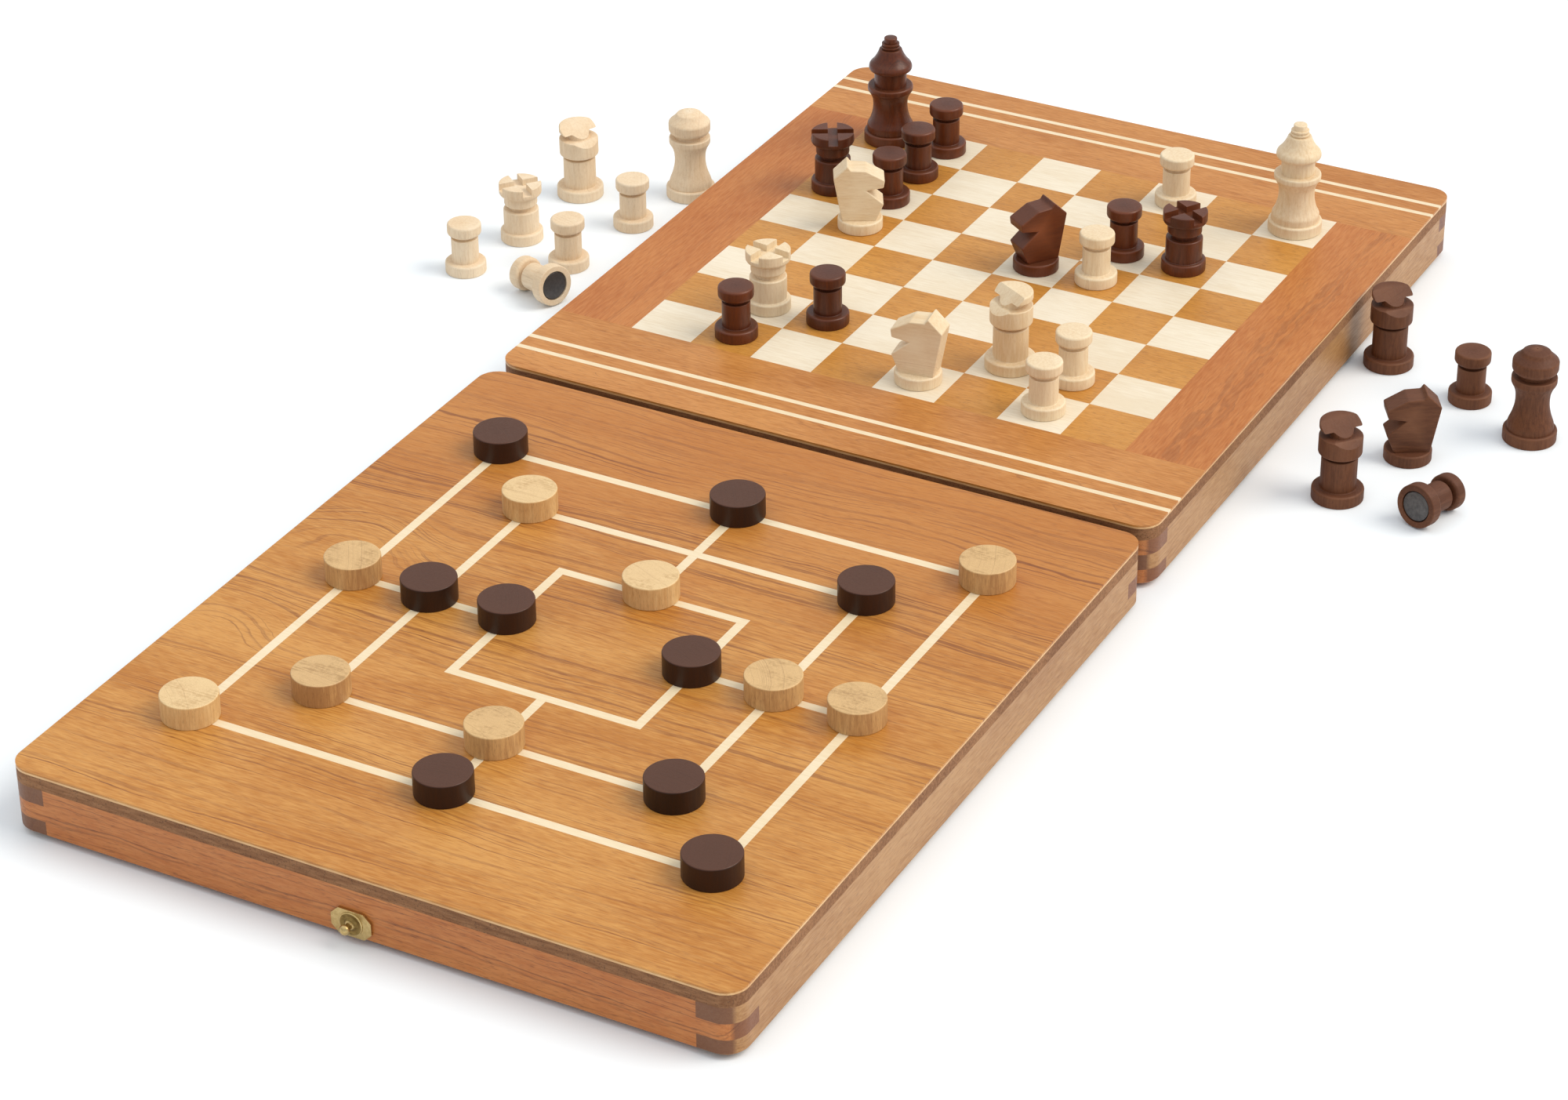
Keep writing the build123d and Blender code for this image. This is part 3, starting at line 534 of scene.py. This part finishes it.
def lathe(corners, steps=64):
    """A closed turned shape, from corners (radius, height, rounding) in mm, foot to top."""
    shape = bmesh.new()
    points = [shape.verts.new((radius * mm, 0, height * mm)) for radius, height, _ in corners]
    for pair in zip(points, points[1:]):
        shape.edges.new(pair)
    for point, (_, _, rounding) in zip(points, corners):
        if rounding:
            segments = 3 if rounding < wide_rounding else 8
            bmesh.ops.bevel(shape, geom=[point], offset=rounding * mm, offset_type="OFFSET",
                            segments=segments, profile=0.5, affect="VERTICES", material=-1)
    bmesh.ops.spin(shape, geom=shape.verts[:] + shape.edges[:], cent=(0, 0, 0), axis=(0, 0, 1),
                   angle=tau, steps=steps, use_merge=True)
    bmesh.ops.remove_doubles(shape, verts=shape.verts[:], dist=merge_distance * mm)
    bmesh.ops.recalc_face_normals(shape, faces=shape.faces[:])
    return shape


def mesh_of(shape, name):
    """The finished mesh, smooth except over sharp corners."""
    mesh = bpy.data.meshes.new(name)
    shape.to_mesh(mesh)
    shape.free()
    mesh.shade_smooth()
    mesh.set_sharp_from_angle(angle=sharp_from)
    return mesh


foot_height = 4.1
magnet_radius, magnet_recess = 4.8, 1.6
pocket_radius = 5.1


def foot(radius):
    """The corners of a chessman's foot, with the pocket for its magnet."""
    return [(0, magnet_recess, 0), (pocket_radius, magnet_recess, 0), (pocket_radius, 0, 0.15),
            (radius, 0, 0.4), (radius, foot_height, 0.7)]


pawn_foot_radius, pawn_head_radius, pawn_height = 7.1, 5.9, 18.4
profiles = {
    "pawn": [*foot(pawn_foot_radius), (4.7, foot_height, 0.2), (4.7, 12.9, 0.2), (3.5, 12.9, 0),
             (3.5, 14.2, 0), (pawn_head_radius, 14.2, 1.1), (pawn_head_radius, pawn_height, 0.8),
             (0, pawn_height, 0)],
    "queen": [*foot(8.7), (7.6, foot_height, 0), (7.45, 6.0, 0.6), (6.3, 9.0, 1.0),
              (5.6, 12.0, 1.0), (5.45, 14.6, 1.0), (5.65, 17.0, 0.8), (6.3, 18.9, 0.5),
              (7.35, 20.8, 0.4), (7.35, 22.9, 0.4), (5.3, 22.9, 0), (5.3, 24.3, 0),
              (7.45, 24.3, 1.9), (7.45, 28.7, 0.5), (5.2, 30.7, 0.5), (4.4, 31.8, 0.2),
              (2.6, 32.45, 0.4), (0.35, 32.6, 0), (0, 32.0, 0)],
    "king": [*foot(9.15), (8.1, foot_height, 0), (8.1, 6.4, 0.5), (7.0, 8.4, 0.8),
             (6.25, 11.2, 1.0), (6.0, 13.8, 1.0), (6.25, 16.4, 0.8), (7.3, 18.6, 0.4),
             (7.95, 19.5, 0.3), (7.95, 21.4, 0.6), (5.65, 21.4, 0), (5.65, 27.1, 0),
             (7.6, 27.1, 1.0), (7.6, 29.2, 0.8), (5.8, 31.1, 1.0), (4.6, 33.2, 0.7),
             (3.9, 35.0, 0.15), (2.85, 35.0, 0), (2.85, 35.4, 0), (3.2, 35.4, 0.15),
             (3.2, 36.1, 0.15), (2.8, 36.1, 0), (2.8, 36.5, 0), (3.1, 36.5, 0.15),
             (3.1, 37.2, 0.15), (2.3, 37.2, 0), (2.3, 39.2, 0.35), (0, 39.2, 0)],
}
turned = {name: mesh_of(lathe(corners), name) for name, corners in profiles.items()}
print({name: len(mesh.polygons) for name, mesh in turned.items()})

# %% [markdown]
# ## The latch stud
# The hook of the latch drops over a stud: a ball on a thin neck, riveted through
# an eight-sided plate with a pressed dish. All of it but the plate is round, so
# the lathe makes it in one line and it is then turned to stand out of the wall.

# %% Latch stud
dish_inner, dish_outer, dish_height = 1.3, 3.3, 2.0
neck, ball = 0.95, 1.6
low, high = (Vector(corner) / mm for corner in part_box("latch_stud_plate"))
latch_centre = (low + high) / 2
wall_face = high.y
on_wall = (Matrix.Translation(Vector((latch_centre.x, wall_face, latch_centre.z)) * mm)
           @ Matrix.Rotation(pi / 2, 4, "X"))
stud = lathe([(0, -6.0, 0), (0.9, -6.0, 0), (0.9, 0.7, 0), (3.7, 0.7, 0), (3.7, 1.0, 0.1),
              (3.3, 1.15, 0.2), (2.1, 0.85, 0.3), (1.6, 1.5, 0.25), (neck, 1.75, 0.2),
              (neck, 3.1, 0.1), (ball, 3.5, 0.3), (ball, 4.5, 0.7), (0.5, 5.25, 0.3), (0, 5.25, 0)],
             steps=48)
stud_mesh = mesh_of(stud, "latch_stud_dressed")
stud_mesh.materials.append(brass)
stud_mesh.materials.append(dish_shade_brass)
for face in stud_mesh.polygons:
    # The ball and the rim are polished; the dish between them is duller and painted darker, as painted
    # shade and reflection in the hollow.
    x, y, z = face.center / mm
    in_dish = dish_inner < (x * x + y * y) ** 0.5 < dish_outer and z < dish_height
    face.material_index = int(in_dish)
stud_mesh.transform(on_wall)
stud_piece = bpy.data.objects.new("latch_stud_dressed", stud_mesh)
bpy.context.scene.collection.objects.link(stud_piece)
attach(stud_piece, "mill_half")
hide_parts("latch_stud")
print("latch stud at", [round(c, 1) for c in latch_centre], "mm, wall face at y", round(wall_face, 1))

# %% [markdown]
# ## Rooks and bishops
# These are turned and then sawn: two crossing slots make a rook's battlements,
# and a slanting notch makes a bishop's mitre. A Boolean takes a saw's shape out
# of the turned one, and a narrow bevel eases the sawn edges as sandpaper does.

# %% Sawing
eased_from = radians(50)


def object_of(mesh, name):
    """A new object in the scene that shows the mesh."""
    made = bpy.data.objects.new(name, mesh)
    bpy.context.scene.collection.objects.link(made)
    return made


def even(piece):
    """Lets the large faces set the shading, so that they look flat up to their eased edges."""
    shading = piece.modifiers.new("even_shading", "WEIGHTED_NORMAL")
    shading.keep_sharp = True


def sawn(shape, saw, name, ease=0.25):
    """The turned shape less the saw's shape, with eased edges, as a new mesh."""
    blank = object_of(mesh_of(shape, name), name)
    cutter = object_of(mesh_of(saw, "saw"), "saw")
    cut = blank.modifiers.new("cut", "BOOLEAN")
    cut.object, cut.operation, cut.solver = cutter, "DIFFERENCE", "EXACT"
    edge = blank.modifiers.new("edge", "BEVEL")
    edge.width, edge.segments, edge.angle_limit = ease * mm, 2, eased_from
    seen = blank.evaluated_get(bpy.context.evaluated_depsgraph_get())
    result = bpy.data.meshes.new_from_object(seen)
    result.name = name
    result.shade_smooth()
    result.set_sharp_from_angle(angle=sharp_from)
    bpy.data.objects.remove(blank)
    bpy.data.objects.remove(cutter)
    return result


def raise_face(shape, corners, rise):
    """Closes the corners to a face and extrudes it by a vector, to a solid; all in mm."""
    face = shape.faces.new([shape.verts.new([c * mm for c in corner]) for corner in corners])
    made = bmesh.ops.extrude_face_region(shape, geom=[face])["geom"]
    far = [part for part in made if isinstance(part, bmesh.types.BMVert)]
    bmesh.ops.translate(shape, vec=[c * mm for c in rise], verts=far)
    bmesh.ops.recalc_face_normals(shape, faces=shape.faces[:])


def prism(shape, outline, reach):
    """A plate in the XZ plane, from corners in mm, as thick as twice its reach in Y."""
    raise_face(shape, [(x, -reach, z) for x, z in outline], (0, 2 * reach, 0))


print("helpers:", sawn.__name__, "and", prism.__name__)

# %% Rook
saw_reach = 12
rook_top = 21.6
slot_half, slot_floor, slot_height = 1.65, rook_top - 2.3, 5
rook_body = lathe([*foot(7.45), (6.2, foot_height, 0.3), (6.2, 12.1, 0.5), (4.3, 12.1, 0),
                   (4.3, 13.6, 0), (5.8, 13.6, 0.7), (5.8, 17.3, 0), (7.45, 17.3, 1.3),
                   (7.45, rook_top, 0.3), (0, rook_top, 0)], steps=56)
quarter = [(saw_reach, -slot_half), (saw_reach, slot_half), (slot_half, slot_half)]
plus = [Matrix.Rotation(radians(90 * k), 2) @ Vector(corner) for k in range(4) for corner in quarter]
slots = bmesh.new()
raise_face(slots, [(x, y, slot_floor) for x, y in plus], (0, 0, slot_height))
turned["rook"] = sawn(rook_body, slots, "rook")
print("rook:", len(turned["rook"].polygons), "faces")

# %% Bishops
# One pale bishop's notch starts nearer its middle, so its mitre is blunter.
bishop_top, above = 27.4, 0.01
for kind, mitre_top in (("bishop", -2.5), ("blunt_bishop", -0.3)):
    bishop_body = lathe([*foot(8.3), (5.75, foot_height, 0.3), (5.75, 15.0, 0.5), (4.5, 15.0, 0),
                         (4.5, 16.2, 0), (6.95, 16.2, 0.7), (6.95, 22.5, 0.3), (3.75, 22.5, 0.2),
                         (3.75, 24.8, 0.4), (6.95, 24.8, 0.4), (6.95, bishop_top, 0.6),
                         (0, bishop_top, 0)], steps=56)
    notch = bmesh.new()
    prism(notch, [(mitre_top, bishop_top + above), (3.9, 23.1), (13.9, 15.1),
                  (13.9, bishop_top + above)], saw_reach)
    turned[kind] = sawn(bishop_body, notch, kind, ease=0.3)
    print(f"{kind}:", len(turned[kind].polygons), "faces")

# %% [markdown]
# ## Knights
# A knight's head is sawn from a flat board and glued to a turned foot. Its edges
# are sanded round, so the plate gets a bevel all over. It could be sculpted, but a
# flat outline with a round edge is what the saw and the sandpaper really leave.

# %% Knight
head_reach, head_round, head_sunk = 4.2, 0.45, 0.2
horse = [(-5.2, 0), (6.3, 0), (9.2, 15.8), (4.4, 20.5), (3.3, 18.9), (-1.8, 18.6), (-8.2, 15.0),
         (-7.8, 12.2), (-2.0, 11.2), (-7.9, 6.2)]
knight_foot = lathe([*foot(7.7), (0, foot_height, 0)])
head = bmesh.new()
prism(head, [(x, z + foot_height - head_sunk * (z == 0)) for x, z in horse], head_reach)
bmesh.ops.bevel(head, geom=head.edges[:], offset=head_round * mm, offset_type="OFFSET",
                segments=3, profile=0.5, affect="EDGES", material=-1)
plate = mesh_of(head, "knight_head")
whole = bmesh.new()
whole.from_mesh(mesh_of(knight_foot, "knight_foot"))
whole.from_mesh(plate)
turned["knight"] = mesh_of(whole, "knight")
print("knight:", len(turned["knight"].polygons), "faces")

# %% [markdown]
# ## Setting the chessmen out
# On the board a man stands in the middle of its square; beside the trays the
# places are measured from the tray's side. Each group of men is one body that
# can be lifted, so every man is one more piece on that body. A copy of the mesh
# is moved to its place, so the object itself stays unmoved on the body, and two
# attributes on the mesh carry the grain's start and how worn each edge is, which
# also sets a painted highlight. Men that shared one mesh would take less room,
# but each needs a grain of its own.

# %% Places
board_top = 22.25
tray_half = 115.0


def on_square(column, row, turn=0.0):
    """On a chess square; turn is in degrees about the upright."""
    spot = Vector(((column - 3.5) * square, half_y + (row - 3.5) * square, board_top)) * mm
    return Matrix.Translation(spot) @ Matrix.Rotation(radians(turn), 4, "Z")


def beside(side, gap, y, turn=0.0):
    """On the table, a gap out from the tray's side."""
    spot = Matrix.Translation(Vector((side * (tray_half + gap), y, 0)) * mm)
    return spot @ Matrix.Rotation(radians(turn), 4, "Z")


def lying(side, gap, y, turn):
    """A pawn on its side, resting on its foot and its head."""
    tilt = atan((pawn_foot_radius - pawn_head_radius) / (pawn_height - foot_height))
    lift = foot_height * sin(tilt) + pawn_foot_radius * cos(tilt)
    spot = Matrix.Translation(Vector((side * (tray_half + gap), y, lift)) * mm)
    return spot @ Matrix.Rotation(radians(turn), 4, "Z") @ Matrix.Rotation(pi / 2 + tilt, 4, "Y")


print("first square at", [round(c, 4) for c in on_square(0, 0).translation], "m")

# %% Chessmen and their places
chessmen = [
    ("dark", "king", "dark_chessmen", "dark_king", [on_square(0, 7)]),
    ("dark", "pawn", "dark_chessmen", "dark_pawns_on_board",
     [on_square(1, 7), on_square(1, 6), on_square(1, 5), on_square(5, 5), on_square(1, 0),
      on_square(2, 1)]),
    ("dark", "rook", "dark_chessmen", "dark_rooks", [on_square(0, 5, 29), on_square(6, 5, 59)]),
    ("dark", "knight", "dark_chessmen", "dark_knight_on_board", [on_square(4, 4, 55)]),
    ("light", "king", "light_chessmen", "light_king", [on_square(7, 7)]),
    ("light", "knight", "light_chessmen", "light_knights", [on_square(1, 4, -151), on_square(4, 0, 8)]),
    ("light", "rook", "light_chessmen", "light_rook_on_board", [on_square(1, 1, -8)]),
    ("light", "blunt_bishop", "light_chessmen", "light_bishop_on_board", [on_square(5, 1, -120)]),
    ("light", "pawn", "light_chessmen", "light_pawns_on_board",
     [on_square(6, 1), on_square(6, 0), on_square(5, 4), on_square(5, 7)]),
    ("light", "queen", "light_chessmen_beside", "light_queen", [beside(-1, 25.7, 175.6)]),
    ("light", "bishop", "light_chessmen_beside", "light_bishop_beside", [beside(-1, 60.9, 157.7, -24)]),
    ("light", "rook", "light_chessmen_beside", "light_rook_beside", [beside(-1, 61.5, 118.3, 52)]),
    ("light", "pawn", "light_chessmen_beside", "light_pawns_beside",
     [beside(-1, 66.2, 88.5), beside(-1, 36.2, 107.7), beside(-1, 31.7, 144.8),
      lying(-1, 25.2, 80.2, 159)]),
    ("dark", "queen", "dark_chessmen_beside", "dark_queen", [beside(1, 69.7, 145.1)]),
    ("dark", "bishop", "dark_chessmen_beside", "dark_bishops",
     [beside(1, 11.5, 171.0, -40), beside(1, 28.9, 82.0, -37)]),
    ("dark", "knight", "dark_chessmen_beside", "dark_knight_beside", [beside(1, 39.5, 115.4, 31)]),
    ("dark", "pawn", "dark_chessmen_beside", "dark_pawns_beside",
     [beside(1, 44.0, 160.0), lying(1, 57.0, 75.3, 73)]),
]
# For the dark men off the board, the beside flag picks the copy of the stain that is painted lighter, as
# painted light.
finishes = {("dark", False): dark_wood, ("dark", True): dark_wood_painted_lighter,
            ("light", False): pale_wood, ("light", True): raw_wood}
print("groups:", len(chessmen))

# %% Grain and rubbed edges
fully_worn_and_lit = radians(60)
skin = 0.1


def prepare(mesh, number, plate_above=None):
    """Stores on the mesh its place in the wood, and how worn each corner is, which also sets its painted
    highlight.
    """
    # Remainders jump about from man to man, so each is cut from another place.
    shift = Vector((number * 37.0 % 101, number * 53.0 % 89, number * 71.0 % 97))
    spots = []
    for v in mesh.vertices:
        x, y, z = v.co / mm
        # A knight's plate has its grain along the board, its foot has it upright.
        in_plate = plate_above is not None and z > plate_above and abs(y) < head_reach + skin
        lies = in_plate and (abs(y) > head_reach - skin or z > foot_height)
        spots.extend(Vector((z, y, x) if lies else (x, y, z)) + shift)
    mesh.attributes.new("grain_place", "FLOAT_VECTOR", "POINT").data.foreach_set("vector", spots)
    shape = bmesh.new()
    shape.from_mesh(mesh)
    # How sharply each corner turns outwards sets both its wear and its painted highlight.
    rubbed_and_lit = []
    for v in shape.verts:
        bends = [e.calc_face_angle_signed(0) for e in v.link_edges]
        rubbed_and_lit.append(min(1.0, max(0.0, max(bends, default=0.0) / fully_worn_and_lit)))
    shape.free()
    mesh.attributes.new("edge_wear_and_highlight", "FLOAT", "POINT").data.foreach_set("value", rubbed_and_lit)


print("helper:", prepare.__name__, "stores grain_place and edge_wear_and_highlight")

# %% Chessmen
magnet_low, magnet_high = 0.25, magnet_recess - 0.02
magnet_disc = mesh_of(lathe([(0, magnet_low, 0), (magnet_radius, magnet_low, 0.2),
                             (magnet_radius, magnet_high, 0), (0, magnet_high, 0)], steps=48),
                      "magnet")
glued_from = foot_height - 0.3
made = 0
for side, kind, body, node, places in chessmen:
    for count, place in enumerate(places, 1):
        mesh = turned[kind].copy()
        prepare(mesh, made, glued_from if kind == "knight" else None)
        mesh.transform(place)
        piece = object_of(mesh, f"{node}_{count}")
        mesh.materials.clear()
        mesh.materials.append(finishes[side, body.endswith("beside")])
        even(piece)
        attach(piece, body)
        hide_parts(node)
        disc = magnet_disc.copy()
        disc.transform(place)
        button = object_of(disc, f"{node}_{count}_magnet")
        disc.materials.append(magnet)
        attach(button, body)
        made += 1
print("chessmen:", made)

# %% [markdown]
# ## Men of the morris board
# The eighteen men are slices of a beech rod, sawn off and tumbled until their
# edges are rounded. They stand on the corners and the middles of three squares,
# so a place is the square's name and two signs. Three of the pale men have taken
# less colour than the others.

# %% Men of the morris board
man_radius, man_height = 8.5, 7.4
first_grain, grain_step = 40, 3
rings = {"inner": 30.7, "middle": 57.2, "outer": 83.7}
man_mesh = mesh_of(lathe([(0, 0, 0), (man_radius, 0, 0.3), (man_radius, man_height, 0.4),
                          (0, man_height, 0)]), "man")
men = {
    "dark": [("outer", -1, 1), ("outer", 0, 1), ("outer", 1, -1), ("outer", 0, -1), ("middle", -1, 0),
             ("middle", 1, -1), ("middle", 1, 1), ("inner", -1, 0), ("inner", 1, 0)],
    "light": [("outer", -1, -1), ("outer", -1, 0), ("outer", 1, 1), ("outer", 1, 0), ("middle", -1, 1),
              ("middle", -1, -1), ("middle", 0, -1), ("middle", 1, 0), ("inner", 0, 1)],
}
pale_men = [("outer", -1, -1), ("middle", -1, 1), ("inner", 0, 1)]
for side, spots in men.items():
    for count, (ring, across, along) in enumerate(spots, 1):
        mesh = man_mesh.copy()
        prepare(mesh, first_grain + grain_step * count)
        spot = Vector((across * rings[ring], -half_y + along * rings[ring], board_top)) * mm
        mesh.transform(Matrix.Translation(spot))
        piece = object_of(mesh, f"{side}_mill_man_{count}")
        light_finish = honey_wood if (ring, across, along) in pale_men else tan_wood
        mesh.materials.append(black_wood if side == "dark" else light_finish)
        even(piece)
        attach(piece, f"{side}_mill_men")
        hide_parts(f"{side}_mill_men")
print("men of the morris board:", sum(len(spots) for spots in men.values()))

# %% [markdown]
# ## Sizes
# Last, the box round everything that is shown is measured and printed. It belongs
# with the box of the plain solids, so a difference of more than a few
# millimetres would mean a piece out of its place.

# %% Sizes and finish
low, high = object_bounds()
print("dressed, in mm:", [round((b - a) / mm, 1) for a, b in zip(low, high)])
